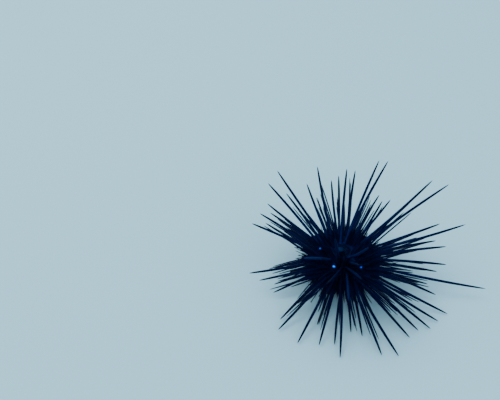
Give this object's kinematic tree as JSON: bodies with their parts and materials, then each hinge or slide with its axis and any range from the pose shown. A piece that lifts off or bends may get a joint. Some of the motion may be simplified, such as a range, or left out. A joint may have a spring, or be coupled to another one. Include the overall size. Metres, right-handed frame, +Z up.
{
  "type": "long-spined sea urchin",
  "caption": "Life-size still model of a black long-spined sea urchin: a rounded shell with long, thin, pointed spines in bundles all round, standing on short spines.",
  "frame": {"origin": "middle of the whole footprint, spines included, at the floor on which the short mouth-side spines stand", "axes": "+Z up, from the mouth to the vent; +X to the right of a viewer in front, along the longest spread; +Y away from that viewer"},
  "size_m": [0.2414, 0.1988, 0.1035],
  "materials": {
    "black_spines": "near-black, finely ribbed, faint blue sheen",
    "dark_skin": "blackish purple skin, satin, with bright blue spots",
    "vent_skin": "grey-blue skin, satin",
    "teeth": "white, smooth"
  },
  "bodies": {
    "root": {"wide_sector_1": "black_spines", "wide_sector_2": "black_spines", "wide_sector_3": "black_spines", "wide_sector_4": "black_spines", "wide_sector_5": "black_spines", "narrow_sector_1": "black_spines", "narrow_sector_2": "black_spines", "narrow_sector_3": "black_spines", "narrow_sector_4": "black_spines", "narrow_sector_5": "black_spines", "top_disc": "dark_skin", "vent": "vent_skin", "mouth_skin": "dark_skin", "tooth_1": "teeth", "tooth_2": "teeth", "tooth_3": "teeth", "tooth_4": "teeth", "tooth_5": "teeth"}
  },
  "joints": []
}
